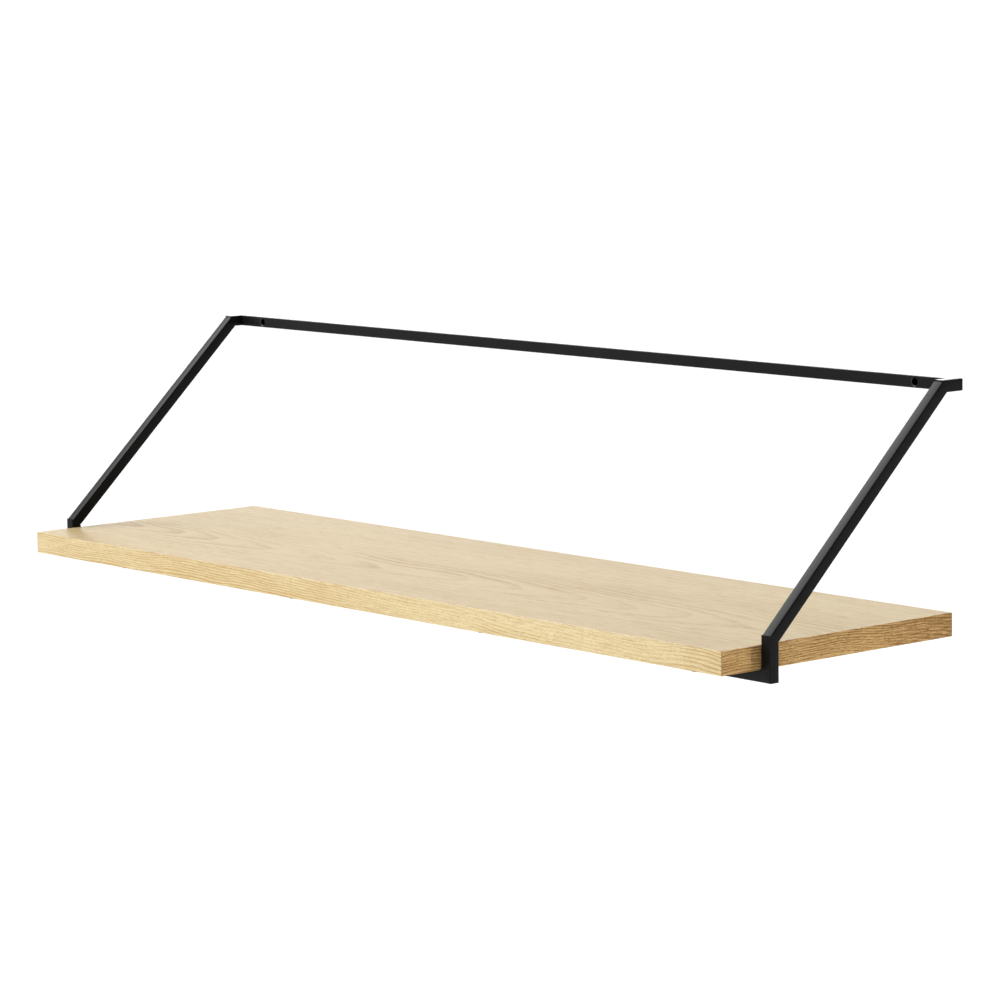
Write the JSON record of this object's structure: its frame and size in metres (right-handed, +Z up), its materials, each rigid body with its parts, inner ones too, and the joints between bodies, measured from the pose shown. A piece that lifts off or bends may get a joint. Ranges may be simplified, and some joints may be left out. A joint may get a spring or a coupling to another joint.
{
  "type": "wall shelf with brackets",
  "caption": "Wooden wall shelf board held by a closed loop of square black steel tube that runs along the wall, slants down past both ends and crosses under the board.",
  "frame": {"origin": "on the wall plane, midway between the two wall screw holes of the rail", "axes": "+X along the shelf to the right as seen from the room, -Y out of the wall into the room, +Z up"},
  "size_m": [1.2274, 0.33, 0.2968],
  "materials": {
    "oak_top": "clear matt lacquer over pale oak veneer, grain along the board",
    "oak_edge": "clear matt lacquer over pale oak edge band, grain along the edge",
    "core": "raw particle board",
    "frame_black": "matt black powder coat on square steel tube",
    "bracket_black": "matt black powder coat on bent steel plate",
    "screw_black": "black zinc plating"
  },
  "bodies": {
    "root": {"board_core": "core", "top_veneer": "oak_top", "bottom_veneer": "oak_top", "front_edge_band": "oak_edge", "back_edge_band": "oak_edge", "left_edge_band": "oak_edge", "right_edge_band": "oak_edge", "wall_rail": "frame_black", "left_return": "frame_black", "right_return": "frame_black", "left_arm": "frame_black", "right_arm": "frame_black", "left_drop": "frame_black", "right_drop": "frame_black", "cross_bar": "frame_black", "left_rear_bracket": "bracket_black", "right_rear_bracket": "bracket_black", "cross_bar_screws": "screw_black", "rear_bracket_screws": "screw_black"}
  },
  "joints": []
}
